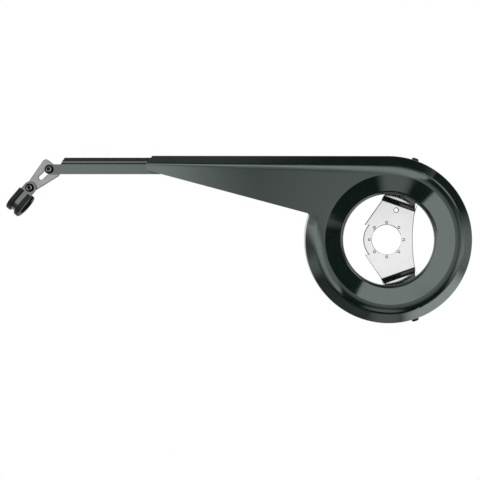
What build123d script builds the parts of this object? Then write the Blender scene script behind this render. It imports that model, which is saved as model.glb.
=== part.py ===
from build123d import *
from math import acos, cos, degrees, hypot, radians, sin, sqrt, tan
import os

# The guard stands as it hangs on the bicycle. The origin is the centre of the bracket's bore, on the
# bracket's rear face. X runs forward, away from the tail, Y inward to the bicycle's frame, Z up.

# Ring of the moulded guard: radii about the bore axis, depths along Y
ring_radius = 98.5
hole_radius = 53.5
bevel_width = 11.8
land_width = 10.9
guard_wall = 2.0
guard_depth = 28.0
guard_rear_y = 2.0
dish_depth = 6.0
lip_length = 5.0
lip_round = 5.0
land_tilt = 13.0
bevel_tilt = 38.8
crease_round = 8.0
rim_round = 1.5

# Blade of the moulded guard, from the ring to its open tail end
blade_length = 284.0
blade_end_slant = 6.6
blade_end_height = 17.5
blade_bevel_height = 9.3
blade_land_width = 2.4
blade_land_tilt = 18.0
blade_crease_round = 2.6
blade_edge_fall = 15.0
blade_corner_round = 5.0
notch_round = 3.0
bevel_fade_angle = 36.0
bevel_fade_lead = 1.5
bevel_fade_sections = 6
bevel_fade_start = 0.03

# Tail strip, pushed into the blade's end
tail_inset = 8.0
tail_wall = 2.3
tail_fit = 0.2
tail_web_drop = 7.9
tail_web_height = 11.6
tail_groove_height = 1.7
tail_groove_depth = 0.9
tail_bevel_height = 4.5
tail_bevel_depth = 2.0
tail_roof_depth = 16.0
tail_overlap = 60.0
tail_reach = 114.4
tail_roof_gap = 13.2
tail_roof_slant = 4.4
tail_roof_setback = 21.5
stud_radius = 1.5
stud_fit = 0.1
stud_drop = 3.1
stud_recess = 0.3
stud_inset = 26.6
stud_spacing = 23.7

# Threads and fasteners (metric five)
thread_radius = 2.5
thread_fit = 0.05
pivot_fit = 0.08
wall_hole_fit = 0.25
head_radius = 4.75
head_height = 2.75
head_dome = 1.6
socket_flats = 4.0
socket_depth = 1.7
washer_radius = 5.0
washer_thickness = 1.0
nut_flats = 8.0
nut_thickness = 4.0
thread_end = 0.8

# Slotted link between the tail screw and the clip screw
link_thickness = 2.0
link_spacing = 31.6
link_heading = 43.4
link_taper = 11.9
link_end_radius = 5.8
link_rim = 6.8
link_corner_round = 4.0
slot_length = 14.5
slot_end_gap = 0.4

# Lined stay clip
clip_heading = 229.3
strap_thickness = 1.0
strap_width = 15.0
strap_radius = 12.5
strap_reach = 21.6
strap_tab_gap = 0.2
strap_bend_radius = 3.0
liner_wall = 1.8
liner_lip = 2.4
liner_lip_cover = 4.7
liner_side = 1.3
liner_fit = 0.1
liner_lip_start = 7.0
liner_base_start = 12.0
liner_end_angle = 185.0

# Bottom-bracket bracket
bore_radius = 17.6
bracket_thickness = 2.0
bracket_hub_radius = 27.7
bracket_root_x = -26.7
bracket_root_z = 17.3
bracket_waist_x = 31.0
arm_angle = 70.7
arm_ramp_start = 42.5
arm_ramp_length = 5.8
arm_half_width = 21.0
tab_half_width = 11.0
tab_bend_radius = 3.0
tab_fit = 0.1
tab_margin = 7.0
lightening_radius = 2.4
lightening_x = 11.4
lightening_z = 35.2
pip_count = 8
pip_ring_width = 2.9
pip_radius = 1.7
pip_height = 0.8

# Rim screws, radial, through the ring's wall into the bracket's tabs
rim_screw_setback = 9.0
rim_head_radius = 4.2
rim_head_height = 3.4
rim_head_round = 1.2
rim_screw_length = 8.0

# Values that follow from the sizes above
crease_radius = ring_radius - bevel_width
dish_edge_radius = crease_radius - land_width
ring_inner_radius = ring_radius - guard_wall
guard_front_y = guard_rear_y - guard_depth
dish_floor_y = guard_front_y + dish_depth
blade_end_x = -blade_length
blade_roof_end_x = blade_end_x + blade_end_slant
blade_crease_z = ring_radius - blade_bevel_height
blade_end_z = ring_radius - blade_end_height
blade_fall_slope = tan(radians(blade_edge_fall))
blade_ring_z = blade_end_z - blade_length * blade_fall_slope
notch_angle = 90 - blade_edge_fall + degrees(acos(blade_ring_z * cos(radians(blade_edge_fall)) / ring_radius))
stud_x = (blade_end_x + stud_inset, blade_end_x + stud_inset + stud_spacing)
tail_front_y = guard_front_y + tail_inset
tail_back_y = tail_front_y + tail_wall
tail_roof_front_y = tail_front_y + tail_bevel_depth
tail_roof_rear_y = tail_front_y + tail_roof_depth
tail_top_z = ring_inner_radius - tail_fit
tail_flange_top_z = tail_top_z - tail_bevel_height
tail_web_top_z = tail_top_z - tail_web_drop
tail_web_bottom_z = tail_web_top_z - tail_web_height
tail_inner_x = blade_end_x + tail_overlap
tail_screw_x = blade_end_x - tail_reach
tail_screw_z = tail_web_top_z - tail_web_height / 2
tail_roof_foot_x = tail_screw_x + tail_roof_gap
slot_outer = link_spacing + slot_end_gap
slot_inner = slot_outer - slot_length
link_arc_radius = slot_outer + link_rim
link_back_y = tail_back_y + link_thickness
clip_screw_x = tail_screw_x - link_spacing * cos(radians(link_heading))
clip_screw_z = tail_screw_z - link_spacing * sin(radians(link_heading))
tab_stack = 2 * strap_thickness + strap_tab_gap
strap_front_y = tail_back_y - tab_stack
strap_centre_y = strap_front_y + strap_radius
pivot_radius = thread_radius + pivot_fit
arm_crank = guard_rear_y + bracket_thickness


def front_plate(outline, y_front, y_back):
    """Solid of an outline drawn as (X, Z), between two depths."""
    back_plane = Plane((0, y_back, 0), x_dir=(1, 0, 0), z_dir=(0, -1, 0))
    return extrude(back_plane * outline, amount=y_back - y_front)


def wall_face(curve):
    """Section of a wall that keeps one thickness behind its outer curve."""
    closed_curve = offset(curve, amount=guard_wall, kind=Kind.INTERSECTION, side=Side.LEFT)
    return make_face(closed_curve.edges())


def rim_points(crease, land, land_angle, bevel_angle, round_radius):
    """Ends of the land's arc, of the rounded crease and of the bevel, as (radius, depth)."""
    reach = round_radius * tan((bevel_angle - land_angle) / 2)
    arc_width = land - reach * cos(land_angle)
    arc_drop = arc_width * tan(land_angle / 2)
    land_end = (crease - reach * cos(land_angle), guard_front_y + arc_drop)
    crease_y = guard_front_y + arc_drop + reach * sin(land_angle)
    bevel_start = (crease + reach * cos(bevel_angle), crease_y + reach * sin(bevel_angle))
    rim_corner = (ring_radius, crease_y + (ring_radius - crease) * tan(bevel_angle))
    return land_end, bevel_start, rim_corner


def ring_rim_points(share):
    """Rim points of the ring with a share of its full tilts. The crease keeps its width."""
    land_angle = radians(share * land_tilt)
    bevel_angle = radians(share * bevel_tilt)
    return rim_points(crease_radius, land_width, land_angle, bevel_angle, crease_round / share)


def blade_rim_points():
    """Rim points of the blade at its tail end."""
    land_angle = radians(blade_land_tilt)
    bevel_angle = radians(bevel_tilt)
    return rim_points(blade_crease_z, blade_land_width, land_angle, bevel_angle, blade_crease_round)


def rim_curve(land_start, land_angle, points):
    """Outer curve from the flat land over the rounded crease and bevel to the wall's rear edge."""
    land_end, bevel_start, rim_corner = points
    land = TangentArc((land_start, guard_front_y), land_end, tangent=(1, 0))
    shoulder = TangentArc(land_end, bevel_start, tangent=(cos(land_angle), sin(land_angle)))
    rear_edge = (ring_radius, guard_rear_y)
    return land + shoulder + FilletPolyline(bevel_start, rim_corner, rear_edge, radius=rim_round)


def ring_section(angle, share):
    """Wall section of the dished ring at an angle about Y: lip, dish, land, bevel and outer wall."""
    lip_rear = (hole_radius, dish_floor_y + lip_length)
    lip_corner = (hole_radius, dish_floor_y)
    dish_edge = (dish_edge_radius, guard_front_y)
    dish = FilletPolyline(lip_rear, lip_corner, dish_edge, radius=lip_round)
    rim = rim_curve(dish_edge_radius, radians(share * land_tilt), ring_rim_points(share))
    return Rot(0, -angle, 0) * wall_face(dish + rim)


def bevel_share(angle):
    """Share of the full tilts at an angle: nearly flat at the notch, full where the fade ends."""
    travel = max(0, angle - notch_angle) / bevel_fade_angle
    smooth = travel * travel * (3 - 2 * travel)
    return bevel_fade_start + (1 - bevel_fade_start) * smooth


def blade_edge_height(x):
    """Height of the blade's lower edge line at a given X."""
    return blade_end_z - (x - blade_end_x) * blade_fall_slope


def blade_outline():
    """Front outline of the blade, with its slanted, round-cornered tail end."""
    slant = blade_end_slant / blade_bevel_height
    above = ring_radius + guard_wall
    end_corner = (blade_end_x, blade_edge_height(blade_end_x))
    outline = make_face(
        Polyline(
            (blade_end_x, blade_crease_z),
            end_corner,
            (0, blade_edge_height(0)),
            (0, above),
            (blade_roof_end_x + slant * guard_wall, above),
            close=True,
        )
    )
    corner = outline.vertices().sort_by_distance((*end_corner, 0))[0]
    return fillet(corner, blade_corner_round)


def blade_section(x, land_start, land_angle, points):
    """Wall section across the blade at a given X, from the flat face over the bevel to the roof."""
    face = Line((0, guard_front_y), (land_start, guard_front_y))
    section_plane = Plane((x, 0, 0), x_dir=(0, 0, 1), z_dir=(-1, 0, 0))
    return section_plane * wall_face(face + rim_curve(land_start, land_angle, points))


def blade_wall():
    """Blade wall: the bevel's crease softens from the tail end towards the ring."""
    tail_land = blade_crease_z - blade_land_width
    tail_end = blade_section(blade_end_x, tail_land, radians(blade_land_tilt), blade_rim_points())
    ring_end = blade_section(0, dish_edge_radius, radians(land_tilt), ring_rim_points(1))
    blade = loft([tail_end, ring_end], ruled=True)
    trimmed = blade & front_plate(blade_outline(), guard_front_y - guard_wall, guard_rear_y + guard_wall)
    return trimmed - front_plate(Circle(dish_edge_radius), guard_front_y - guard_wall, guard_rear_y)


def chain_passage():
    """Space behind the blade where the chain leaves the ring."""
    floor_rise = guard_wall / cos(radians(blade_edge_fall))
    outline = make_face(
        Polyline(
            (blade_end_x, blade_edge_height(blade_end_x) + floor_rise),
            (0, blade_edge_height(0) + floor_rise),
            (0, ring_inner_radius),
            (blade_end_x, ring_inner_radius),
            close=True,
        )
    )
    outline = outline - Circle(dish_edge_radius)
    return front_plate(outline, guard_front_y + guard_wall, guard_rear_y + guard_wall)


def ring_wall():
    """Dished ring turned about Y and open for the chain, with a sector where its bevel fades in."""
    first = notch_angle - bevel_fade_lead
    last = notch_angle + bevel_fade_angle
    step = (last - first) / (bevel_fade_sections - 1)
    angles = [first + step * index for index in range(bevel_fade_sections - 1)] + [last]
    fade = loft([ring_section(angle, bevel_share(angle)) for angle in angles])
    turned = revolve(ring_section(first, 1), Axis.Y, revolution_arc=360 - (last - first))
    return turned - chain_passage() + fade


def notch_fillet():
    """Rounded corner where the blade's lower edge runs into the ring's outline."""
    outline = blade_outline() + Circle(ring_radius)
    left_side = outline.vertices().filter_by(lambda v: v.X < -hole_radius and v.Y < dish_edge_radius)
    notch = left_side.sort_by(lambda v: abs(hypot(v.X, v.Y) - ring_radius))[0]
    corner = fillet(notch, notch_round) - outline
    return front_plate(corner, guard_front_y, guard_front_y + guard_wall)


def bevel_point(x):
    """Point on the blade's bevel at a given X, a set drop below the roof, and the bevel's normal."""
    share = (x - blade_end_x) / blade_length
    tail_y = blade_rim_points()[-1][-1]
    ring_y = ring_rim_points(1)[-1][-1]
    slope = tan(radians(bevel_tilt))
    depth = tail_y + share * (ring_y - tail_y) - stud_drop * slope
    return Vector(x, depth, ring_radius - stud_drop), Vector(0, -1, slope).normalized()


def stud_pin(x, radius, top, root):
    """Round pin square to the bevel, between two depths under the bevel's surface."""
    point, normal = bevel_point(x)
    foot = Plane(point - normal * root, z_dir=normal)
    return extrude(foot * Circle(radius), amount=root - top)


def stud_root(x):
    """Depth from the blade's bevel to the middle of the tail strip's wall, along a stud."""
    point, normal = bevel_point(x)
    tail_normal = Vector(0, -tail_bevel_height, tail_bevel_depth).normalized()
    above_tail = point - Vector(x, tail_front_y, tail_flange_top_z)
    return above_tail.dot(tail_normal) / normal.dot(tail_normal) + tail_wall / 2


def rim_screw_depth():
    """Depth of the rim screws' axes, behind the bevel's outer edge."""
    return ring_rim_points(1)[-1][-1] + rim_screw_setback


def rim_frame(side):
    """Frame of a rim screw: Z runs outward along its axis from the ring's wall."""
    angle = radians(side * arm_angle)
    outward = Vector(cos(angle), 0, sin(angle))
    seat = outward * ring_radius + Vector(0, rim_screw_depth(), 0)
    return Plane(seat, x_dir=(0, 1, 0), z_dir=outward)


def guard_shell():
    """Moulded guard: ring, blade, snap holes and rim screw holes."""
    shell = ring_wall() + blade_wall() + notch_fillet()
    for x in stud_x:
        shell = shell - stud_pin(x, stud_radius + stud_fit, -guard_wall, 2 * guard_wall)
    for side in (1, -1):
        hole = extrude(Circle(thread_radius + wall_hole_fit), amount=2 * guard_wall, both=True)
        shell = shell - rim_frame(side) * hole
    return shell


def tail_section():
    """Section of the tail strip: web, vee groove, flange, bevel and roof."""
    roof_under_z = tail_top_z - tail_wall
    groove_y = tail_front_y + tail_groove_depth
    flange_z = tail_web_top_z + tail_groove_height
    inner_bevel_z = roof_under_z - tail_bevel_height
    return make_face(
        Polyline(
            (tail_front_y, tail_web_bottom_z),
            (tail_front_y, tail_web_top_z),
            (groove_y, (tail_web_top_z + flange_z) / 2),
            (tail_front_y, flange_z),
            (tail_front_y, tail_flange_top_z),
            (tail_roof_front_y, tail_top_z),
            (tail_roof_rear_y, tail_top_z),
            (tail_roof_rear_y, roof_under_z),
            (tail_roof_front_y + tail_wall, roof_under_z),
            (tail_back_y, inner_bevel_z),
            (tail_back_y, tail_web_bottom_z),
            close=True,
        )
    )


def tail_extension():
    """Tail strip: roofed web with a round, drilled tip and two snap studs."""
    tip_radius = tail_web_height / 2
    tip_x = tail_screw_x - tip_radius
    length = tail_inner_x - tip_x
    strip = extrude(Plane.YZ.offset(tip_x) * tail_section(), amount=length)
    above = tail_top_z + tail_wall
    head_x = tail_roof_foot_x + (above - tail_web_top_z) * tail_roof_slant / tail_web_drop
    roof_end = make_face(
        Polyline(
            (tip_x, tail_web_top_z),
            (tail_roof_foot_x, tail_web_top_z),
            (head_x, above),
            (tip_x, above),
            close=True,
        )
    )
    strip = strip - front_plate(roof_end, tail_front_y - tail_wall, 0)
    setback_x = tail_screw_x + tail_roof_setback
    behind = Pos((tip_x + setback_x) / 2, above) * Rectangle(setback_x - tip_x, 2 * above)
    strip = strip - front_plate(behind, tail_back_y, 0)
    tip = Pos(tip_x, tail_screw_z) * Rectangle(2 * tip_radius, tail_web_height)
    tip = tip - Pos(tail_screw_x, tail_screw_z) * Circle(tip_radius)
    hole = Pos(tail_screw_x, tail_screw_z) * Circle(pivot_radius)
    strip = strip - front_plate(tip + hole, tail_front_y - tail_wall, 0)
    for x in stud_x:
        strip = strip + stud_pin(x, stud_radius, stud_recess, stud_root(x))
    return strip


def bracket_hub():
    """Flat middle of the bracket: bore, hub arc, arm roots and waist."""
    angle = radians(arm_angle)
    left_x = arm_ramp_start * cos(angle) - arm_half_width * sin(angle)
    left_z = arm_ramp_start * sin(angle) + arm_half_width * cos(angle)
    right_x = arm_ramp_start * cos(angle) + arm_half_width * sin(angle)
    right_z = arm_ramp_start * sin(angle) - arm_half_width * cos(angle)
    step_x = -sqrt(bracket_hub_radius**2 - bracket_root_z**2)
    waist = ThreePointArc((right_x, -right_z), (bracket_waist_x, 0), (right_x, right_z))
    upper = Polyline(
        (right_x, right_z),
        (left_x, left_z),
        (bracket_root_x, bracket_root_z),
        (step_x, bracket_root_z),
    )
    hub = ThreePointArc((step_x, bracket_root_z), (-bracket_hub_radius, 0), (step_x, -bracket_root_z))
    lower = Polyline(
        (step_x, -bracket_root_z),
        (bracket_root_x, -bracket_root_z),
        (left_x, -left_z),
        (right_x, -right_z),
    )
    outline = make_face((waist + upper + hub + lower).edges())
    outline = outline - Circle(bore_radius)
    outline = outline - Pos(lightening_x, lightening_z) * Circle(lightening_radius)
    return front_plate(outline, -bracket_thickness, 0)


def bracket_arm():
    """Upper arm, straight up: ramp, flat run behind the ring and bent-up end tab with its tapped hole."""
    mid_y = -bracket_thickness / 2
    ramp_end = arm_ramp_start + arm_ramp_length
    tab_face = sqrt(ring_inner_radius**2 - tab_half_width**2) - tab_fit
    tab_mid = tab_face - bracket_thickness / 2
    tab_front_y = rim_screw_depth() - tab_margin
    path = FilletPolyline(
        (arm_ramp_start - bracket_thickness, mid_y),
        (arm_ramp_start, mid_y),
        (ramp_end, mid_y + arm_crank),
        (tab_mid, mid_y + arm_crank),
        (tab_mid, tab_front_y),
        radius=tab_bend_radius,
    )
    arm_plane = Plane((0, 0, 0), x_dir=(0, 0, 1), z_dir=(-1, 0, 0))
    sheet = extrude(arm_plane * trace(path, bracket_thickness), amount=arm_half_width, both=True)
    outline = make_face(
        Polyline(
            (-arm_half_width, 0),
            (-arm_half_width, arm_ramp_start),
            (-tab_half_width, tab_mid - tab_bend_radius),
            (-tab_half_width, ring_radius),
            (tab_half_width, ring_radius),
            (tab_half_width, tab_mid - tab_bend_radius),
            (arm_half_width, arm_ramp_start),
            (arm_half_width, 0),
            close=True,
        )
    )
    arm = sheet & front_plate(outline, tab_front_y - bracket_thickness, arm_crank + bracket_thickness)
    tapped = extrude(Circle(thread_radius + thread_fit), amount=ring_radius)
    return arm - Pos(0, rim_screw_depth(), 0) * tapped


def pip_cone(base_y):
    """Cone whose foot lies at a depth and whose point rises towards the viewer."""
    foot = Plane((0, base_y, 0), x_dir=(1, 0, 0), z_dir=(0, -1, 0))
    return foot * Pos(0, 0, pip_height / 2) * Cone(pip_radius, pip_radius / 2, pip_height)


def bracket_plate():
    """Pressed bracket: hub with a ring of pressed pips, and two mirrored arms."""
    upper = Rot(0, 90 - arm_angle, 0) * bracket_arm()
    lower = mirror(upper, about=Plane.XY)
    bracket = bracket_hub() + upper + lower
    for index in range(pip_count):
        place = Rot(0, 360 / pip_count * index, 0) * Pos(bore_radius + pip_ring_width, 0, 0)
        bracket = bracket + place * pip_cone(-bracket_thickness)
        bracket = bracket - place * pip_cone(0)
    return bracket


def socket_screw(radius, height, round_radius, length):
    """Screw with a domed head and a hexagon socket. Z runs out of the head, which seats at zero."""
    head = extrude(Circle(radius), amount=height)
    head = fillet(head.edges().sort_by(Axis.Z)[-1], round_radius)
    shank = extrude(Circle(thread_radius), amount=-length)
    socket = RegularPolygon(socket_flats / 2, 6, major_radius=False)
    socket = Pos(0, 0, height - socket_depth) * extrude(socket, amount=socket_depth)
    return head + shank - socket


def washer():
    """Plain washer standing on its plane."""
    return extrude(Circle(washer_radius) - Circle(pivot_radius), amount=washer_thickness)


def nut():
    """Hexagon nut hanging below its plane."""
    outline = RegularPolygon(nut_flats / 2, 6, major_radius=False)
    return extrude(outline - Circle(thread_radius + thread_fit), amount=-nut_thickness)


def front_frame(x, y, z):
    """Frame of a fastener that points at the viewer."""
    return Plane((x, y, z), x_dir=(1, 0, 0), z_dir=(0, -1, 0))


def fastener_set(name, x, z, stack_front_y):
    """Screw, washer and nut through a stack that ends at the link's back."""
    seat_y = stack_front_y - washer_thickness
    length = link_back_y + nut_thickness + thread_end - seat_y
    screw = front_frame(x, seat_y, z) * socket_screw(head_radius, head_height, head_dome, length)
    return {
        f"{name}_screw": screw,
        f"{name}_washer": front_frame(x, stack_front_y, z) * washer(),
        f"{name}_nut": front_frame(x, link_back_y, z) * nut(),
    }


def slotted_link():
    """Tapered sector link with a slot along its middle."""
    taper = radians(link_taper)
    root_x = -link_end_radius * sin(taper)
    root_z = link_end_radius * cos(taper)
    edge_length = sqrt(link_arc_radius**2 - link_end_radius**2)
    far_x = root_x + edge_length * cos(taper)
    far_z = root_z + edge_length * sin(taper)
    outline = make_face(
        Polyline((root_x, root_z), (far_x, far_z)).edges()
        + ThreePointArc((far_x, far_z), (link_arc_radius, 0), (far_x, -far_z)).edges()
        + Polyline((far_x, -far_z), (root_x, -root_z)).edges()
        + ThreePointArc((root_x, -root_z), (-link_end_radius, 0), (root_x, root_z)).edges()
    )
    outline = fillet(outline.vertices().sort_by(Axis.X)[-2:], link_corner_round)
    slot_middle = (slot_inner + slot_outer) / 2
    slot = SlotCenterToCenter(slot_outer - slot_inner, 2 * pivot_radius)
    outline = outline - Pos(slot_middle, 0) * slot - Circle(pivot_radius)
    outline = Pos(clip_screw_x, clip_screw_z) * Rot(0, 0, link_heading) * outline
    return front_plate(outline, tail_back_y, link_back_y)


def clip_frame():
    """Frame of the stay clip: X from the clip screw to the ring, Y inward, Z across the strap."""
    angle = radians(clip_heading)
    heading = (cos(angle), 0, sin(angle))
    across = (-sin(angle), 0, cos(angle))
    return Plane((clip_screw_x, 0, clip_screw_z), x_dir=heading, z_dir=across)


def clip_strap():
    """P-shaped band: front tab, ring and rear tab, drilled for the clip screw."""
    mid_radius = strap_radius - strap_thickness / 2
    front_mid = strap_front_y + strap_thickness / 2
    rear_mid = front_mid + strap_thickness + strap_tab_gap
    tab_end = -strap_width / 2
    bend_y = rear_mid + strap_bend_radius
    reach = mid_radius + strap_bend_radius
    bend_x = strap_reach - sqrt(reach**2 - (strap_centre_y - bend_y) ** 2)
    bend_share = strap_bend_radius / reach
    meet_x = bend_x + (strap_reach - bend_x) * bend_share
    meet_y = bend_y + (strap_centre_y - bend_y) * bend_share
    turn_x = strap_reach + mid_radius
    front_tab = Line((tab_end, front_mid), (strap_reach, front_mid))
    first_half = TangentArc((strap_reach, front_mid), (turn_x, strap_centre_y), tangent=(1, 0))
    second_half = TangentArc((turn_x, strap_centre_y), (meet_x, meet_y), tangent=(0, 1))
    rear_bend = TangentArc((bend_x, rear_mid), (meet_x, meet_y), tangent=(1, 0))
    rear_tab = Line((tab_end, rear_mid), (bend_x, rear_mid))
    path = front_tab + first_half + second_half + rear_bend + rear_tab
    band = extrude(trace(path, strap_thickness), amount=strap_width / 2, both=True)
    length = strap_reach + strap_radius
    outline = Circle(strap_width / 2) + Pos(length / 2, 0) * Rectangle(length, strap_width)
    outline = outline - Circle(pivot_radius)
    plan = Plane((0, 0, 0), x_dir=(1, 0, 0), z_dir=(0, 1, 0))
    keep = extrude(plan * outline, amount=strap_reach + strap_radius, both=True)
    return clip_frame() * (band & keep)


def liner_section():
    """Section of the liner beyond the strap's middle, as (radius, offset across the strap)."""
    half_width = strap_width / 2 + liner_fit + liner_side
    side_face = strap_width / 2 + liner_fit
    inside = strap_radius - strap_thickness - liner_fit
    outside = strap_radius + liner_fit
    lip_edge = side_face - liner_lip_cover
    half = [
        (inside, side_face),
        (outside, side_face),
        (outside, lip_edge),
        (outside + liner_lip, lip_edge),
        (outside + liner_lip, half_width),
        (inside - liner_wall, half_width),
    ]
    other_half = [(radius, -across) for radius, across in reversed(half)]
    section = make_face(Polyline(*half, *other_half, close=True))
    outer_corners = section.vertices().sort_by(Axis.X)[-4:]
    return fillet(outer_corners, liner_lip / 2 - liner_fit)


def clip_liner():
    """Rubber liner: a channel that wraps the strap round the ring and along its straight front."""
    centre = Pos(strap_reach, strap_centre_y, 0)
    start_plane = Plane((0, 0, 0), x_dir=(0, -1, 0), z_dir=(1, 0, 0))
    ring = revolve(start_plane * liner_section(), Axis.Z, revolution_arc=90 + liner_end_angle)
    run_length = strap_reach - liner_lip_start
    run = extrude(start_plane * liner_section(), amount=-run_length)
    inside = strap_radius - strap_thickness / 2
    base_length = liner_base_start - liner_lip_start
    base_cut = Pos(base_length / 2 - run_length, -inside / 2) * Rectangle(base_length, inside)
    base_block = extrude(base_cut, amount=strap_width, both=True)
    liner = ring + (run - base_block)
    return clip_frame() * centre * liner


def build_parts():
    """All pieces by node name."""
    parts = {
        "guard_shell": guard_shell(),
        "tail_extension": tail_extension(),
        "bracket_plate": bracket_plate(),
        "slotted_link": slotted_link(),
        "clip_strap": clip_strap(),
        "clip_liner": clip_liner(),
    }
    for name, side in (("rim_screw_upper", 1), ("rim_screw_lower", -1)):
        screw = socket_screw(rim_head_radius, rim_head_height, rim_head_round, rim_screw_length)
        parts[name] = rim_frame(side) * screw
    parts.update(fastener_set("tail", tail_screw_x, tail_screw_z, tail_front_y))
    parts.update(fastener_set("clip", clip_screw_x, clip_screw_z, strap_front_y))
    return parts


os.makedirs("parts", exist_ok=True)
for node, shape in build_parts().items():
    export_step(shape, f"parts/{node}.step")
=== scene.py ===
"""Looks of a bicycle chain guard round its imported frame: soft edges, finishes, studio and camera."""

import logging
import math
from dataclasses import dataclass
from enum import Enum

import bmesh
import bpy
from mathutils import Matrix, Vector


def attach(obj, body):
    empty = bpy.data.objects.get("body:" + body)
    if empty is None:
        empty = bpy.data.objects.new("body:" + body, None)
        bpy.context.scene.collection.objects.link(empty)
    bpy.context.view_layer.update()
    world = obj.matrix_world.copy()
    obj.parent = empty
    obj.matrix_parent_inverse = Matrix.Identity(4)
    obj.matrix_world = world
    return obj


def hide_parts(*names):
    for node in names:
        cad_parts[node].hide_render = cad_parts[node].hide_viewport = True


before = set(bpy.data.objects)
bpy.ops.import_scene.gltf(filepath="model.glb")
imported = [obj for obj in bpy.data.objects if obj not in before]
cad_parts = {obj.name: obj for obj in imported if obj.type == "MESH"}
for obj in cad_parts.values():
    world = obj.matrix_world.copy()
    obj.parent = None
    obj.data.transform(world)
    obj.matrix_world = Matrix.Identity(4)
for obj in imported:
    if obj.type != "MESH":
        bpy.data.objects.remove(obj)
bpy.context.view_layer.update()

logging.basicConfig(level=logging.INFO, format="%(message)s")
log = logging.getLogger("chain_guard")

Colour = tuple[float, float, float]
Direction = tuple[float, float, float]
Place = tuple[float, float, float]
Band = tuple[float, float]
Value = float | tuple | bpy.types.NodeSocket

MM = 0.001
MERGE_REACH = 0.001 * MM
NO_BAND: Band = (0.0, 0.0)
WHITE: Colour = (1.0, 1.0, 1.0)


class Body(Enum):
    """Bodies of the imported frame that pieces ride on."""

    GUARD = "guard"
    TAIL_PIVOT = "tail_pivot"
    LINK = "link"
    CLIP = "clip"


class Axis(Enum):
    """Axes of the shared frame along which a board's edge fades."""

    ACROSS = "X"
    UP = "Z"


class Mixed(Enum):
    """What a Mix node mixes: its data type, and the ending of its sockets' identifiers."""

    NUMBERS = ("FLOAT", "Float")
    COLOURS = ("RGBA", "Color")


class NodeSheet:
    """A node tree that is filled by short calls."""

    def __init__(self, tree: bpy.types.NodeTree) -> None:
        """Keeps the tree that the calls fill."""
        self.tree = tree

    def add(self, kind: str, **settings: object) -> bpy.types.Node:
        """Adds a node.

        Args:
            kind: Blender's name of the node type.
            settings: properties to set on the node.

        Returns:
            The new node.
        """
        node = self.tree.nodes.new(kind)
        for name, value in settings.items():
            setattr(node, name, value)
        return node

    def feed(self, socket: bpy.types.NodeSocket, value: Value) -> None:
        """Links an output to an input socket, or sets the socket's own value.

        Args:
            socket: the input socket.
            value: an output socket, a number, a vector or a colour.
        """
        if isinstance(value, bpy.types.NodeSocket):
            self.tree.links.new(value, socket)
        else:
            socket.default_value = value

    def math(self, operation: str, first: Value, second: Value = 0.0) -> bpy.types.NodeSocket:
        """Adds a Math node.

        Args:
            operation: Blender's name of the operation.
            first: first operand.
            second: second operand.

        Returns:
            The result's socket.
        """
        node = self.add("ShaderNodeMath", operation=operation)
        self.feed(node.inputs[0], first)
        self.feed(node.inputs[1], second)
        return node.outputs[0]

    def dot(self, first: Value, second: Value) -> bpy.types.NodeSocket:
        """Adds a dot product.

        Args:
            first: first vector.
            second: second vector.

        Returns:
            The product's socket.
        """
        node = self.add("ShaderNodeVectorMath", operation="DOT_PRODUCT")
        self.feed(node.inputs[0], first)
        self.feed(node.inputs[1], second)
        return node.outputs["Value"]

    def parts(self, vector: Value) -> bpy.types.NodeOutputs:
        """Splits a vector into its parts.

        Args:
            vector: the vector.

        Returns:
            Outputs named X, Y and Z.
        """
        node = self.add("ShaderNodeSeparateXYZ")
        self.feed(node.inputs[0], vector)
        return node.outputs

    def step(self, value: Value, start: float, end: float) -> bpy.types.NodeSocket:
        """Adds a smooth step.

        Args:
            value: what is compared.
            start: value at which the step begins; it may lie above end.
            end: value at which the step is done.

        Returns:
            Zero before start, one after end, smooth between them.
        """
        node = self.add("ShaderNodeMapRange", interpolation_type="SMOOTHSTEP")
        falling = start > end
        self.feed(node.inputs["Value"], value)
        node.inputs["From Min"].default_value = min(start, end)
        node.inputs["From Max"].default_value = max(start, end)
        node.inputs["To Min"].default_value = 1.0 if falling else 0.0
        node.inputs["To Max"].default_value = 0.0 if falling else 1.0
        return node.outputs["Result"]

    def mix(self, kind: Mixed, share: Value, first: Value, second: Value) -> bpy.types.NodeSocket:
        """Mixes two numbers or two colours.

        Args:
            kind: whether numbers or colours are mixed.
            share: zero for the first, one for the second.
            first: first number or colour.
            second: second number or colour.

        Returns:
            The result's socket.
        """
        data_type, ending = kind.value
        node = self.add("ShaderNodeMix", data_type=data_type)
        inputs = {socket.identifier: socket for socket in node.inputs}
        outputs = {socket.identifier: socket for socket in node.outputs}
        self.feed(inputs["Factor_Float"], share)
        self.feed(inputs[f"A_{ending}"], first)
        self.feed(inputs[f"B_{ending}"], second)
        return outputs[f"Result_{ending}"]


def rgba(colour: Colour) -> tuple[float, float, float, float]:
    """A colour with full cover."""
    return (*colour, 1.0)


def shaded(colour: Colour, factor: float) -> tuple[float, float, float, float]:
    """A colour made lighter or darker by one factor."""
    return rgba(tuple(channel * factor for channel in colour))


def box_of(piece: bpy.types.Object) -> tuple[Vector, Vector]:
    """Lowest and highest corner of a piece's box, which Blender lists first and seventh."""
    return Vector(piece.bound_box[0]), Vector(piece.bound_box[6])


def side_lengths(mesh: bpy.types.Mesh, polygon: bpy.types.MeshPolygon) -> list[float]:
    """Lengths of a polygon's sides, in order."""
    corners = [mesh.vertices[index].co for index in polygon.vertices]
    return [(here - there).length for here, there in zip(corners, corners[1:] + corners[:1])]


def in_band(place: Vector, band: Band) -> bool:
    """Whether a place lies between two radii about the bore's axis."""
    return band[0] < math.hypot(place.x, place.z) < band[1]


def pick(piece: bpy.types.Object) -> None:
    """Selects one piece alone and makes it the one that operators act on.

    Args:
        piece: the piece.
    """
    bpy.ops.object.select_all(action="DESELECT")
    piece.select_set(True)
    bpy.context.view_layer.objects.active = piece


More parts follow.
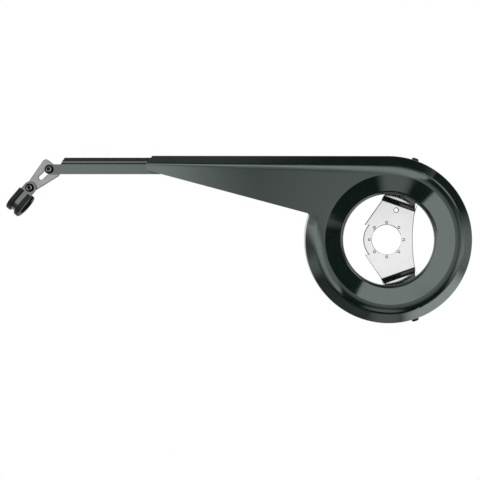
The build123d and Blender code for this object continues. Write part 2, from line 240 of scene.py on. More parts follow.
class GrainGroup:
    """Shared effect: fine surface grain and slow cloudiness, on Object coordinates."""

    name: str = "surface_grain"
    details: dict[str, float] = {"Grain": 3.0, "Cloud": 4.0}

    @classmethod
    def tree(cls) -> bpy.types.NodeTree:
        """Builds the group once.

        Returns:
            The group with inputs Grain Scale and Cloud Scale, and outputs Grain and Cloud.
        """
        if cls.name in bpy.data.node_groups:
            return bpy.data.node_groups[cls.name]
        tree = bpy.data.node_groups.new(cls.name, "ShaderNodeTree")
        for output in cls.details:
            tree.interface.new_socket(f"{output} Scale", in_out="INPUT", socket_type="NodeSocketFloat")
            tree.interface.new_socket(output, in_out="OUTPUT", socket_type="NodeSocketFloat")
        sheet = NodeSheet(tree)
        inside = sheet.add("NodeGroupInput")
        outside = sheet.add("NodeGroupOutput")
        place = sheet.add("ShaderNodeTexCoord")
        for output, detail in cls.details.items():
            noise = sheet.add("ShaderNodeTexNoise", noise_dimensions="3D")
            sheet.feed(noise.inputs["Vector"], place.outputs["Object"])
            sheet.feed(noise.inputs["Scale"], inside.outputs[f"{output} Scale"])
            sheet.feed(noise.inputs["Detail"], detail)
            sheet.feed(outside.inputs[output], noise.outputs["Fac"])
        return tree


@dataclass(frozen=True)
class Finish:
    """A surface finish, with colours in linear light and lengths in metres.

    Attributes:
        name: name of the material.
        colour: mean base colour.
        roughness: mean roughness.
        roughness_swing: how far the grain moves the roughness either way.
        colour_swing: share by which the cloudiness darkens or lightens the colour.
        metallic: one for bare metal, zero for paint, plastic and rubber.
        refraction: index of refraction.
        specular: level of the gloss.
        gloss_tint: colour of the gloss.
        grain_size: width of the grain.
        grain_height: relief of the grain.
        cloud_size: width of the cloudiness.
        cloud_span: noise over which the cloudiness goes from dark to light.
    """

    name: str
    colour: Colour
    roughness: float
    roughness_swing: float = 0.03
    colour_swing: float = 0.12
    metallic: float = 0.0
    refraction: float = 1.5
    specular: float = 0.5
    gloss_tint: Colour = WHITE
    grain_size: float = 0.8 * MM
    grain_height: float = 0.001 * MM
    cloud_size: float = 20.0 * MM
    cloud_span: Band = (0.3, 0.7)

    def material(self) -> bpy.types.Material:
        """Builds the finish as a material, once.

        Returns:
            The material, with colour, roughness and relief that vary over the surface.
        """
        if self.name in bpy.data.materials:
            return bpy.data.materials[self.name]
        material = bpy.data.materials.new(self.name)
        material.use_nodes = True
        sheet = NodeSheet(material.node_tree)
        shader = material.node_tree.nodes["Principled BSDF"]
        grain = sheet.add("ShaderNodeGroup", node_tree=GrainGroup.tree())
        sheet.feed(grain.inputs["Grain Scale"], 1.0 / self.grain_size)
        sheet.feed(grain.inputs["Cloud Scale"], 1.0 / self.cloud_size)
        cloud = sheet.step(grain.outputs["Cloud"], *self.cloud_span)
        dark = shaded(self.colour, 1.0 - self.colour_swing)
        light = shaded(self.colour, 1.0 + self.colour_swing)
        sheet.feed(shader.inputs["Base Color"], sheet.mix(Mixed.COLOURS, cloud, dark, light))
        low = self.roughness - self.roughness_swing
        high = self.roughness + self.roughness_swing
        roughness = sheet.mix(Mixed.NUMBERS, grain.outputs["Grain"], low, high)
        sheet.feed(shader.inputs["Roughness"], roughness)
        bump = sheet.add("ShaderNodeBump")
        bump.inputs["Strength"].default_value = 1.0
        bump.inputs["Distance"].default_value = self.grain_height
        sheet.feed(bump.inputs["Height"], grain.outputs["Grain"])
        sheet.feed(shader.inputs["Normal"], bump.outputs["Normal"])
        shader.inputs["Metallic"].default_value = self.metallic
        shader.inputs["IOR"].default_value = self.refraction
        shader.inputs["Specular IOR Level"].default_value = self.specular
        shader.inputs["Specular Tint"].default_value = rgba(self.gloss_tint)
        return material

    def material_for(self, piece: bpy.types.Object) -> bpy.types.Material:
        """The material that a piece wears, which is the same for every piece."""
        return self.material()


@dataclass(frozen=True)
class HighlightRingFinish(Finish):
    """A finish whose colour gives way to a painted highlight: a ring of light bare metal round the socket,
    where the head's flat top shines.

    Attributes:
        highlight_colour: colour of the painted highlight ring, a light bare metal.
        ring_inner: inner radius of the ring.
        ring_outer: outer radius of the ring.
        ring_blur: half of the width over which the ring ends, inside and outside.
        head_reach: depth behind the head's front where the painted highlight ends.
        head_blur: depth over which it ends.
    """

    highlight_colour: Colour = (0.32, 0.33, 0.325)
    ring_inner: float = 2.2 * MM
    ring_outer: float = 3.4 * MM
    ring_blur: float = 0.15 * MM
    head_reach: float = 2.0 * MM
    head_blur: float = 0.4 * MM

    def material_for(self, piece: bpy.types.Object) -> bpy.types.Material:
        """Builds the finish for one screw.

        Args:
            piece: the screw, with its head in front.

        Returns:
            The material, with the painted highlight ring centred on the screw's axis.
        """
        low, high = box_of(piece)
        middle = (low + high) / 2.0
        material = self.material().copy()
        material.name = f"{piece.name}_{self.name}"
        sheet = NodeSheet(material.node_tree)
        shader = material.node_tree.nodes["Principled BSDF"]
        place = sheet.add("ShaderNodeTexCoord")
        centred = sheet.add("ShaderNodeMapping")
        sheet.feed(centred.inputs["Vector"], place.outputs["Object"])
        centred.inputs["Location"].default_value = (-middle.x, -low.y, -middle.z)
        parts = sheet.parts(centred.outputs["Vector"])
        squares = [sheet.math("POWER", parts[axis], 2.0) for axis in ("X", "Z")]
        radius = sheet.math("SQRT", sheet.math("ADD", *squares))
        ring = sheet.step(radius, self.ring_inner - self.ring_blur, self.ring_inner + self.ring_blur)
        outer = sheet.step(radius, self.ring_outer + self.ring_blur, self.ring_outer - self.ring_blur)
        head = sheet.step(parts["Y"], self.head_reach, self.head_reach - self.head_blur)
        for limit in (outer, head):
            ring = sheet.math("MULTIPLY", ring, limit)
        # painted highlight: the head's flat top turns to light bare metal in a ring, in place of its gloss
        painted = shader.inputs["Base Color"].links[0].from_socket
        highlighted = sheet.mix(Mixed.COLOURS, ring, painted, rgba(self.highlight_colour))
        sheet.feed(shader.inputs["Base Color"], highlighted)
        sheet.feed(shader.inputs["Metallic"], ring)
        return material


GREEN_GLOSS: Colour = (0.88, 1.0, 0.955)
OXIDE_BLACK: Colour = (0.005, 0.0065, 0.006)

GUARD_GLOSS = Finish(
    "guard_gloss", (0.005, 0.011, 0.0085), 0.06, refraction=1.8, specular=0.84, gloss_tint=GREEN_GLOSS,
)
TAIL_GLOSS = Finish(
    "tail_gloss", (0.007, 0.0125, 0.0105), 0.2, refraction=1.8, specular=0.84, gloss_tint=GREEN_GLOSS,
    grain_height=0.0002 * MM,
)
BRACKET_ZINC = Finish("bracket_zinc", (0.8, 0.8, 0.8), 0.12, metallic=1.0, colour_swing=0.02)
# the screws wear a painted highlight ring round the socket
SCREW_BLACK_HIGHLIGHT = HighlightRingFinish("screw_black_painted_highlight", OXIDE_BLACK, 0.25, specular=0.22)
BLACK_OXIDE = Finish("black_oxide", OXIDE_BLACK, 0.25, specular=0.22)
# painted shade: near-black paint on rounded edges and sheared sides, for their dark reflections
DARK_EDGE_PAINT = Finish("painted_dark_edge", (0.05, 0.054, 0.052), 0.45, metallic=0.6)
LINK_SATIN = Finish("link_satin", (0.33, 0.335, 0.33), 0.3, metallic=1.0, colour_swing=0.08)
STRAP_SATIN = Finish("strap_satin", (0.16, 0.172, 0.168), 0.2, metallic=1.0, colour_swing=0.08)
NUT_ZINC = Finish("nut_zinc", (0.55, 0.55, 0.55), 0.25, metallic=1.0, colour_swing=0.06)
LINER_RUBBER = Finish("clip_rubber", (0.007, 0.0115, 0.0098), 0.5, specular=0.3, grain_height=0.01 * MM)


@dataclass
class SubAssembly:
    """Pieces of one sub-assembly, which ride on one body.

    A face's lean is the size of its normal's Y: one on a sheet's front and back, zero on its sides.

    Attributes:
        body: body that the pieces ride on.
        plane_angle: largest angle between triangles that become one face.
        square_angle: smallest angle across an edge that is rounded.
        smooth_angle: largest angle across an edge that is shaded smooth.
        face_lean: least lean of a front or back face.
        round_lean: lean below which a face may belong to a rounded edge.
        side_lean: lean below which a face may be a sheared side.
        round_segments: faces across a rounded edge.
        round_share: share of a rounded edge's width that its faces stay under.
        sheet_limit: mean height that a sheared side stays under.
    """

    body: Body
    plane_angle: float = math.radians(0.4)
    square_angle: float = math.radians(60)
    smooth_angle: float = math.radians(40)
    face_lean: float = 0.99
    round_lean: float = 0.97
    side_lean: float = 0.06
    round_segments: int = 2
    round_share: float = 0.8
    sheet_limit: float = 2.3 * MM

    def dress(self, piece: bpy.types.Object, finish: Finish) -> None:
        """Gives a piece its finish.

        Args:
            piece: a node of the frame, or a piece that stands for one.
            finish: the finish that it wears.
        """
        piece.data.materials.clear()
        piece.data.materials.append(finish.material_for(piece))
        log.info("%s wears %s", piece.name, finish.name)

    def soft_copy(self, node: str, whole_faces: bool = True) -> bpy.types.Object:
        """Copies a node's mesh and joins its loose triangles.

        Args:
            node: name of the node.
            whole_faces: whether triangles of one plane become one face.

        Returns:
            The copy, which stands for the node and rides on the sub-assembly's body.
        """
        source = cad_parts[node]
        piece = bpy.data.objects.new(f"{node}_soft", source.data.copy())
        bpy.context.scene.collection.objects.link(piece)
        pick(piece)
        bpy.ops.object.mode_set(mode="EDIT")
        bpy.ops.mesh.select_all(action="SELECT")
        bpy.ops.mesh.remove_doubles(threshold=MERGE_REACH)
        if whole_faces:
            bpy.ops.mesh.customdata_custom_splitnormals_clear()
            bpy.ops.mesh.dissolve_limited(angle_limit=self.plane_angle)
        bpy.ops.object.mode_set(mode="OBJECT")
        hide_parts(node)
        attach(piece, self.body.value)
        return piece

    def round_edges(self, piece: bpy.types.Object, width: float, plain_band: Band = NO_BAND) -> None:
        """Rounds the square edges of a piece and smooths its shading.

        Args:
            piece: the piece, with whole faces.
            width: width of the rounded edge in metres.
            plain_band: radii about the bore's axis between which edges stay as they are.
        """
        pick(piece)
        bpy.ops.object.mode_set(mode="EDIT")
        bpy.ops.mesh.select_mode(type="EDGE")
        bpy.ops.mesh.select_all(action="DESELECT")
        shape = bmesh.from_edit_mesh(piece.data)
        for edge in shape.edges:
            middle = (edge.verts[0].co + edge.verts[1].co) / 2.0
            is_square = edge.is_manifold and edge.calc_face_angle() > self.square_angle
            on_face = any(abs(face.normal.y) > self.face_lean for face in edge.link_faces)
            edge.select_set(is_square and on_face and not in_band(middle, plain_band))
        bmesh.update_edit_mesh(piece.data)
        bpy.ops.mesh.bevel(
            offset=width, segments=self.round_segments, affect="EDGES", clamp_overlap=False,
        )
        bpy.ops.object.mode_set(mode="OBJECT")
        bpy.ops.object.shade_smooth_by_angle(angle=self.smooth_angle)
        weigh = piece.modifiers.new("flat_faces", "WEIGHTED_NORMAL")
        weigh.keep_sharp = True
        bpy.ops.object.modifier_apply(modifier=weigh.name)

    def paint_dark_edges(self, piece: bpy.types.Object, width: float, plain_band: Band = NO_BAND) -> None:
        """Paints the sheared sides and rounded edges of a flat sheet-metal piece near black: painted shade
        for the dark reflections along its edges.

        Args:
            piece: the piece, already dressed, with rounded edges.
            width: width of the rounded edges in metres.
            plain_band: radii about the bore's axis between which all faces keep the piece's finish.
        """
        # painted shade along the edges
        piece.data.materials.append(DARK_EDGE_PAINT.material())
        for polygon in piece.data.polygons:
            lean = abs(polygon.normal.y)
            sides = side_lengths(piece.data, polygon)
            is_round = lean < self.round_lean and min(sides) < self.round_share * width
            is_side = lean < self.side_lean and polygon.area < self.sheet_limit * max(sides)
            is_plain = in_band(polygon.center, plain_band)
            polygon.material_index = int((is_round or is_side) and not is_plain)
        log.info("%s has edges in %s", piece.name, DARK_EDGE_PAINT.name)


@dataclass
class MouldedGuard(SubAssembly):
    """Dished ring and tapered blade in one moulding, with the tail strip and the two rim screws.

    The rim's sizes are those of the solid: its front tilts back from station to station outwards, and the
    tilts fade in from the notch under the blade.

    Attributes:
        notch_angle: angle about the bore's axis where the fade begins.
        fade_arc: angle that the fade takes.
        fade_start: share of the full tilts at the notch.
        rim_stations: radii between which the tilts change evenly.
        rim_tilts: full tilt at each station.
        rim_margin: width of the outer edge, which keeps the solid's normals.
        front_limit: least lean of the front's normals.
        inward_limit: lean towards the axis beyond which a normal belongs to the dish.
        turn_step: turn either way over which the change of the fall is taken.
    """

    body: Body = Body.GUARD
    notch_angle: float = math.radians(162.2)
    fade_arc: float = math.radians(36.0)
    fade_start: float = 0.03
    rim_stations: tuple[float, ...] = (75.8 * MM, 84.9 * MM, 88.1 * MM, 98.5 * MM)
    rim_tilts: tuple[float, ...] = (0.0, math.radians(13.0), math.radians(38.8), math.radians(38.8))
    rim_margin: float = 1.8 * MM
    front_limit: float = 0.5
    inward_limit: float = 0.05
    turn_step: float = 1e-4

    def build(self) -> None:
        """Smooths the shading of the rim's fade and dresses the mouldings and the rim screws."""
        shell = self.soft_copy("guard_shell", whole_faces=False)
        self.smooth_fade(shell)
        self.dress(shell, GUARD_GLOSS)
        self.dress(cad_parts["tail_extension"], TAIL_GLOSS)
        for node in ("rim_screw_upper", "rim_screw_lower"):
            self.dress(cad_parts[node], BLACK_OXIDE)

    def share(self, angle: float) -> float:
        """Share of the rim's full tilts at an angle about the bore's axis."""
        travel = min(max((angle - self.notch_angle) / self.fade_arc, 0.0), 1.0)
        return self.fade_start + (1.0 - self.fade_start) * travel * travel * (3.0 - 2.0 * travel)

    def tilt(self, radius: float) -> float:
        """Full tilt of the ring's front at a radius.

        Args:
            radius: distance from the bore's axis.

        Returns:
            The tilt in radians.
        """
        tilts = list(zip(self.rim_stations, self.rim_tilts))
        for (inner, first), (outer, last) in zip(tilts, tilts[1:]):
            if radius <= outer:
                return first + (last - first) * max(radius - inner, 0.0) / (outer - inner)
        return self.rim_tilts[-1]

    def drop(self, radius: float, share: float) -> float:
        """How far the ring's front falls back at a radius.

        Between two stations the mean slope is taken from both ends and, with four times their weight,
        the middle.

        Args:
            radius: distance from the bore's axis.
            share: share of the full tilts.

        Returns:
            The fall from the dish's edge outwards, in metres.
        """
        fall = 0.0
        for inner, outer in zip(self.rim_stations, self.rim_stations[1:]):
            end = min(radius, outer)
            if end <= inner:
                break
            first, last = share * self.tilt(inner), share * self.tilt(end)
            slopes = math.tan(first) + 4.0 * math.tan((first + last) / 2.0) + math.tan(last)
            fall += (end - inner) * slopes / 6.0
        return fall

    def rim_facing(self, radius: float, angle: float) -> Vector:
        """Direction that the fading rim's front faces.

        Args:
            radius: distance from the bore's axis.
            angle: angle about that axis.

        Returns:
            The unit normal, towards the viewer.
        """
        outwards = Vector((math.cos(angle), 0.0, math.sin(angle)))
        around = Vector((-math.sin(angle), 0.0, math.cos(angle)))
        before = self.drop(radius, self.share(angle - self.turn_step))
        after = self.drop(radius, self.share(angle + self.turn_step))
        steepness = math.tan(self.share(angle) * self.tilt(radius))
        facing = steepness * outwards + (after - before) / (2.0 * self.turn_step * radius) * around
        return (facing - Vector((0.0, 1.0, 0.0))).normalized()

    def smooth_fade(self, shell: bpy.types.Object) -> None:
        """Gives the sector where the rim's tilts fade in its true normals, and the rest those of the solid.

        The solid's own normals in that sector ripple, which the gloss would show.

        Args:
            shell: merged copy of the guard's mesh, which has lost the triangles that merging closes.
        """
        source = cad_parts["guard_shell"].data
        normals = []
        for polygon in source.polygons:
            if min(side_lengths(source, polygon)) > MERGE_REACH:
                normals += [source.corner_normals[index].vector.copy() for index in polygon.loop_indices]
        for corner, normal in zip(shell.data.loops, normals):
            place = shell.data.vertices[corner.vertex_index].co
            radius = math.hypot(place.x, place.z)
            angle = math.atan2(place.z, place.x) % math.tau
            in_fade = self.notch_angle < angle < self.notch_angle + self.fade_arc
            on_rim = self.rim_stations[0] < radius < self.rim_stations[-1] - self.rim_margin
            in_front = normal.y < -self.front_limit
            leans_in = normal.x * place.x + normal.z * place.z < -self.inward_limit * radius
            if in_fade and on_rim and in_front and not leans_in:
                normal[:] = self.rim_facing(radius, angle)
        shell.data.normals_split_custom_set(normals)


@dataclass
class BracketMount(SubAssembly):
    """Pressed bottom-bracket plate with its two cranked arms.

    Attributes:
        edge_round: width of the rounded edges.
        pip_band: radii between which the pips round the bore lie, which keep their edges.
    """

    body: Body = Body.GUARD
    edge_round: float = 0.85 * MM
    pip_band: Band = (17.9 * MM, 23.2 * MM)

    def build(self) -> None:
        """Rounds the plate's pressed edges and dresses it."""
        plate = self.soft_copy("bracket_plate")
        self.round_edges(plate, self.edge_round, self.pip_band)
        self.dress(plate, BRACKET_ZINC)
        # the plate's edges get painted shade
        self.paint_dark_edges(plate, self.edge_round, self.pip_band)


@dataclass
class ScrewStack(SubAssembly):
    """Socket screw with its washer and its nut.

    Attributes:
        prefix: first word of the nodes' names.
        nut_round: width of the nut's rounded edges.
        socket_reach: distance from the axis within which the socket's floor lies.
        socket_depth: depth behind the head's front beyond which the socket's floor lies.
        point_depth: depth of the drilled cone.
        screw_smooth_angle: largest angle across an edge of the screw that is shaded smooth.
    """

    prefix: str = ""
    nut_round: float = 0.3 * MM
    socket_reach: float = 2.6 * MM
    socket_depth: float = 0.5 * MM
    point_depth: float = 0.9 * MM
    screw_smooth_angle: float = math.radians(30)

    def build(self) -> None:
        """Drills the socket's floor, softens the nut and dresses all three."""
        screw = self.soft_copy(f"{self.prefix}_screw")
        self.drill_socket(screw)
        # the screw's finish paints a highlight ring round its socket
        self.dress(screw, SCREW_BLACK_HIGHLIGHT)
        self.dress(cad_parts[f"{self.prefix}_washer"], BLACK_OXIDE)
        nut = self.soft_copy(f"{self.prefix}_nut")
        self.round_edges(nut, self.nut_round)
        self.dress(nut, NUT_ZINC)

    def drill_socket(self, screw: bpy.types.Object) -> None:
        """Turns the flat floor of the socket into the cone that a drill leaves.

        Args:
            screw: the screw, with whole faces.
        """
        low, high = box_of(screw)
        middle = (low + high) / 2.0
        for polygon in screw.data.polygons:
            off_axis = math.hypot(polygon.center.x - middle.x, polygon.center.z - middle.z)
            in_front = polygon.normal.y < -self.face_lean
            is_sunk = polygon.center.y > low.y + self.socket_depth
            polygon.select = in_front and is_sunk and off_axis < self.socket_reach
        pick(screw)
        bpy.ops.object.mode_set(mode="EDIT")
        bpy.ops.mesh.select_mode(type="FACE")
        bpy.ops.mesh.poke(offset=-self.point_depth)
        bpy.ops.object.mode_set(mode="OBJECT")
        bpy.ops.object.shade_smooth_by_angle(angle=self.screw_smooth_angle)


@dataclass
class StayLink(SubAssembly):
    """Slotted link between the tail strip and the stay clip."""

    body: Body = Body.LINK
    edge_round: float = 0.6 * MM

    def build(self) -> None:
        """Rounds the link's pressed edges and dresses it."""
        link = self.soft_copy("slotted_link")
        self.round_edges(link, self.edge_round)
        self.dress(link, LINK_SATIN)
        # the link's edges get painted shade
        self.paint_dark_edges(link, self.edge_round)


@dataclass
class StayClip(SubAssembly):
    """Strap of the stay clip with its rubber liner."""

    body: Body = Body.CLIP
    strap_round: float = 0.3 * MM

    def build(self) -> None:
        """Rounds the strap's edges and dresses strap and liner."""
        strap = self.soft_copy("clip_strap")
        self.round_edges(strap, self.strap_round)
        self.dress(strap, STRAP_SATIN)
        self.dress(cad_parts["clip_liner"], LINER_RUBBER)


@dataclass(frozen=True)
class Card:
    """A round light or flag with a soft edge, far off in the studio.

    Attributes:
        name: label of its node.
        way: direction from the object to its middle.
        full_angle: degrees from that direction within which it is full.
        end_angle: degrees from that direction at which it ends.
        level: a light's level, or the share of the light that a flag takes away.
    """

    name: str
    way: Direction
    full_angle: float
    end_angle: float
    level: float

    def mask(self, sheet: NodeSheet, way: bpy.types.NodeSocket) -> bpy.types.NodeSocket:
        """The card's level over directions.

        Args:
            sheet: the world's node sheet.
            way: direction from the object.

        Returns:
            The level inside full_angle, falling to zero at end_angle.
        """
        towards = sheet.dot(way, tuple(Vector(self.way).normalized()))
        start = math.cos(math.radians(self.end_angle))
        end = math.cos(math.radians(self.full_angle))
        mask = sheet.math("MULTIPLY", sheet.step(towards, start, end), self.level)
        mask.node.label = self.name
        return mask


LIGHT_CARDS = (
    Card("front_glow", (0.225, -0.974, -0.02), 2.0, 20.0, 0.48),
    Card("plate_window", (0.172, -0.985, -0.015), 3.2, 5.6, 0.92),
    Card("low_right_strip", (0.71, -0.11, -0.695), 15.0, 31.0, 1.25),
    Card("right_wall", (0.98, -0.17, -0.1), 8.0, 28.0, 0.5),
    Card("right_stand", (0.545, -0.83, -0.115), 0.5, 3.5, 0.28),
    Card("low_wall", (0.14, -0.2, -0.97), 4.0, 18.0, 0.38),
    Card("right_panel", (0.72, -0.47, 0.5), 8.0, 19.0, 0.8),
    Card("low_card", (0.124, -0.883, -0.452), 3.0, 9.0, 0.45),
    Card("high_left", (-0.22, -0.13, 0.967), 9.0, 20.0, 0.13),
    Card("low_left_fill", (-0.5, -0.25, -0.83), 12.0, 42.0, 0.12),
)
FLAGS = (
    Card("camera_flag", (0.096, -0.9935, 0.061), 0.5, 11.5, 0.7),
    Card("stand_flag", (0.02, -0.97, 0.235), 2.0, 11.0, 0.6),
    Card("low_flag", (-0.017, -0.988, -0.156), 2.0, 9.5, 0.5),
)


def stage_plane(name: str, x_reach: Band, y_reach: Band, z_reach: Band) -> bpy.types.Object:
    """Adds a flat piece of the studio, which is no part of the object.

    Args:
        name: name of the piece.
        x_reach: X of its left and right side.
        y_reach: Y of its first and last end.
        z_reach: Z of its first and last end.

    Returns:
        The piece.
    """
    bpy.ops.object.select_all(action="DESELECT")
    bpy.ops.mesh.primitive_plane_add(size=2.0)
    plane = bpy.context.object
    plane.name = name
    for vertex in plane.data.vertices:
        side, end = vertex.co.x > 0.0, vertex.co.y > 0.0
        vertex.co = (x_reach[side], y_reach[end], z_reach[end])
    log.info("%s set up", name)
    return plane


@dataclass(frozen=True)
class SoftEdge:
    """A board's edge: clear before start and full after end, along one axis."""

    axis: Axis
    start: float
    end: float


@dataclass(frozen=True)
class Board:
    """An upright board in front of the object that only reflections see: a light panel or a black flag.

    Attributes:
        name: name of the board.
        level: its light, which is none for a flag.
        cover: share of what lies behind that it hides.
        x_reach: X of its left and right side.
        z_reach: Z of its foot and top.
        soft_edges: edges over which it fades out.
        y: its place in front of the object.
    """

    name: str
    level: float
    cover: float
    x_reach: Band
    z_reach: Band
    soft_edges: tuple[SoftEdge, ...]
    y: float = -0.6

    def build(self) -> None:
        """Sets up the board."""
        board = stage_plane(self.name, self.x_reach, (self.y, self.y), self.z_reach)
        board.data.materials.append(self.material())
        board.visible_camera = False
        board.visible_diffuse = False
        board.visible_shadow = False

    def material(self) -> bpy.types.Material:
        """Builds the board's light.

        Returns:
            The material, clear beyond the soft edges.
        """
        material = bpy.data.materials.new(self.name)
        material.use_nodes = True
        material.node_tree.nodes.clear()
        sheet = NodeSheet(material.node_tree)
        place = sheet.add("ShaderNodeTexCoord")
        parts = sheet.parts(place.outputs["Object"])
        cover = self.cover
        for edge in self.soft_edges:
            fade = sheet.step(parts[edge.axis.value], edge.start, edge.end)
            cover = sheet.math("MULTIPLY", fade, cover)
        light = sheet.add("ShaderNodeEmission")
        light.inputs["Strength"].default_value = self.level
        clear = sheet.add("ShaderNodeBsdfTransparent")
        mix = sheet.add("ShaderNodeMixShader")
        sheet.feed(mix.inputs[0], cover)
        sheet.feed(mix.inputs[1], clear.outputs[0])
        sheet.feed(mix.inputs[2], light.outputs[0])
        output = sheet.add("ShaderNodeOutputMaterial")
        sheet.feed(output.inputs["Surface"], mix.outputs[0])
        return material


BOARDS = (
    Board(
        "right_panel_board", 1.0, 1.0, (0.33, 1.6), (-0.6, 0.4),
        (
            SoftEdge(Axis.ACROSS, 0.365, 0.5),
            SoftEdge(Axis.UP, -0.5, -0.15),
            SoftEdge(Axis.UP, 0.28, -0.10),
        ),
    ),
    Board(
        "left_flag_board", 0.0, 0.72, (-3.2, -0.05), (-3.2, 0.05),
        (
            SoftEdge(Axis.ACROSS, -0.09, -0.28),
            SoftEdge(Axis.UP, -0.02, -0.28),
            SoftEdge(Axis.ACROSS, -3.0, -0.6),
            SoftEdge(Axis.UP, -3.0, -0.9),
        ),
    ),
    Board(
        "high_flag_board", 0.0, 0.65, (0.0, 0.6), (0.25, 0.9),
        (
            SoftEdge(Axis.ACROSS, 0.05, 0.17),
            SoftEdge(Axis.ACROSS, 0.58, 0.46),
            SoftEdge(Axis.UP, 0.31, 0.39),
        ),
    ),
)


@dataclass(frozen=True)
class Lamp:
    """A square soft lamp, which lights and shades but isn't mirrored."""

    name: str
    place: Place
    side: float
    power: float
    target: Place = (-0.17, 0.0, 0.0)

    def build(self) -> None:
        """Hangs the lamp and aims it at the guard's middle."""
        lamp = bpy.data.lights.new(self.name, "AREA")
        lamp.size = self.side
        lamp.energy = self.power
        holder = bpy.data.objects.new(self.name, lamp)
        bpy.context.scene.collection.objects.link(holder)
        holder.location = self.place
        aim = Vector(self.target) - Vector(self.place)
        holder.rotation_euler = aim.to_track_quat("-Z", "Y").to_euler()
        holder.visible_glossy = False
        holder.visible_camera = False
        log.info("%s set up", self.name)


LAMPS = (
    Lamp("key_lamp", (-0.9, -1.3, 1.1), 1.2, 16.0),
    Lamp("fill_lamp", (0.9, -0.6, 0.9), 1.0, 6.0),
)


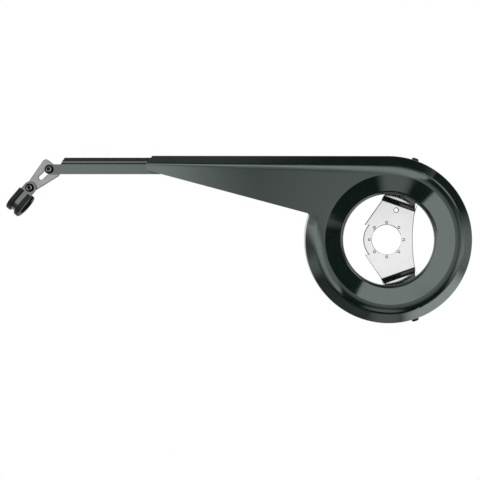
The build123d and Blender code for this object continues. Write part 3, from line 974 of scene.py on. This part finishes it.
@dataclass
class Studio:
    """White studio: a floor, soft lamps, boards, and a world with a large softbox in a dark room in front.

    Attributes:
        box_level: light of the softbox and the cards.
        box_side: direction across the softbox's slanted edge.
        box_edge: part of a direction along box_side at which that edge lies.
        box_softness: half of that edge's width.
        box_top: Z of a direction over which the softbox fades in from above.
        box_foot: Z of a direction over which it fades in from below.
        left_part: X of a direction over which its dimmer far left begins.
        left_rise: Z of a direction over which the far left grows bright.
        room_level: light of the dark room.
        back_part: Y of a direction over which the white half behind the object begins.
        ambient: fill light on all that isn't a reflection.
        floor_x: X of the floor's sides.
        floor_y: Y of the floor's ends.
        floor_z: height of the floor.
        floor_colour: colour of the floor.
        floor_roughness: roughness of the floor.
    """

    box_level: float = 1.2
    box_side: Direction = (-0.794, 0.0, 0.608)
    box_edge: float = -0.094
    box_softness: float = 0.012
    box_top: Band = (0.85, 0.45)
    box_foot: Band = (-0.62, -0.42)
    left_part: Band = (-0.25, -0.7)
    left_rise: Band = (-1.0, 0.1)
    room_level: float = 0.012
    back_part: Band = (0.02, 0.2)
    ambient: float = 0.5
    floor_x: Band = (-1.6, 1.6)
    floor_y: Band = (-1.6, 0.7)
    floor_z: float = -0.6
    floor_colour: Colour = (0.85, 0.85, 0.85)
    floor_roughness: float = 0.9

    def build(self) -> None:
        """Makes the world, the lamps, the floor and the boards."""
        self.build_world()
        for lamp in LAMPS:
            lamp.build()
        self.build_floor()
        for board in BOARDS:
            board.build()

    def softbox(self, sheet: NodeSheet, way: bpy.types.NodeSocket) -> bpy.types.NodeSocket:
        """The large softbox on the left: a slanted straight edge, fading high up and low down.

        Args:
            sheet: the world's node sheet.
            way: direction from the object.

        Returns:
            One inside the box, zero outside.
        """
        parts = sheet.parts(way)
        across = sheet.dot(way, self.box_side)
        box = sheet.step(across, self.box_edge - self.box_softness, self.box_edge + self.box_softness)
        for fade in (self.box_top, self.box_foot):
            box = sheet.math("MULTIPLY", box, sheet.step(parts["Z"], *fade))
        far_left = sheet.step(parts["X"], *self.left_part)
        left_level = sheet.step(parts["Z"], *self.left_rise)
        return sheet.math("MULTIPLY", box, sheet.mix(Mixed.NUMBERS, far_left, 1.0, left_level))

    def front_pattern(self, sheet: NodeSheet, way: bpy.types.NodeSocket) -> bpy.types.NodeSocket:
        """Light of the half of the studio that faces the object's front.

        Args:
            sheet: the world's node sheet.
            way: direction from the object.

        Returns:
            The light's level in that direction.
        """
        front = self.softbox(sheet, way)
        for flag in FLAGS:
            front = sheet.math("MULTIPLY", front, sheet.math("SUBTRACT", 1.0, flag.mask(sheet, way)))
        for card in LIGHT_CARDS:
            front = sheet.math("MAXIMUM", front, card.mask(sheet, way))
        return sheet.math("ADD", sheet.math("MULTIPLY", front, self.box_level), self.room_level)

    def build_world(self) -> None:
        """Makes the world: white to the camera, the studio to reflections, soft fill to all else."""
        world = bpy.data.worlds.new("studio")
        bpy.context.scene.world = world
        world.use_nodes = True
        sheet = NodeSheet(world.node_tree)
        backdrop = world.node_tree.nodes["Background"]
        way = sheet.add("ShaderNodeTexCoord").outputs["Generated"]
        rays = sheet.add("ShaderNodeLightPath").outputs
        behind = sheet.step(sheet.parts(way)["Y"], *self.back_part)
        seen = sheet.mix(Mixed.NUMBERS, behind, self.front_pattern(sheet, way), 1.0)
        mirrored = sheet.math("MAXIMUM", rays["Is Glossy Ray"], rays["Is Transmission Ray"])
        level = sheet.mix(Mixed.NUMBERS, mirrored, self.ambient, seen)
        level = sheet.mix(Mixed.NUMBERS, rays["Is Camera Ray"], level, 1.0)
        backdrop.inputs["Color"].default_value = rgba(WHITE)
        sheet.feed(backdrop.inputs["Strength"], level)

    def build_floor(self) -> None:
        """Lays the pale floor, below what the photo's camera sees."""
        floor = stage_plane("studio_floor", self.floor_x, self.floor_y, (self.floor_z, self.floor_z))
        material = bpy.data.materials.new("floor_paint")
        material.use_nodes = True
        shader = material.node_tree.nodes["Principled BSDF"]
        shader.inputs["Base Color"].default_value = rgba(self.floor_colour)
        shader.inputs["Roughness"].default_value = self.floor_roughness
        floor.data.materials.append(material)
        floor.visible_glossy = False


@dataclass
class PhotoCamera:
    """Level camera square to the guard's front."""

    place: Place = (-0.1747, -1.026, -0.00042)
    turn: tuple[float, float, float] = (math.radians(90), 0.0, 0.0)
    field_of_view: float = math.radians(31.2)

    def build(self) -> None:
        """Makes the camera and gives it to the scene."""
        camera = bpy.data.cameras.new("photo_camera")
        camera.sensor_fit = "HORIZONTAL"
        camera.angle = self.field_of_view
        holder = bpy.data.objects.new("photo_camera", camera)
        bpy.context.scene.collection.objects.link(holder)
        holder.location = self.place
        holder.rotation_euler = self.turn
        bpy.context.scene.camera = holder


def main() -> None:
    """Builds the sub-assemblies, the studio and the camera in order, and reports each."""
    for item in (
        MouldedGuard(),
        BracketMount(),
        ScrewStack(body=Body.TAIL_PIVOT, prefix="tail"),
        StayLink(),
        ScrewStack(body=Body.LINK, prefix="clip"),
        StayClip(),
        Studio(),
        PhotoCamera(),
    ):
        item.build()
        log.info("%s is done", type(item).__name__)
    bpy.context.scene.view_settings.view_transform = "Standard"


if __name__ == "__main__":
    main()
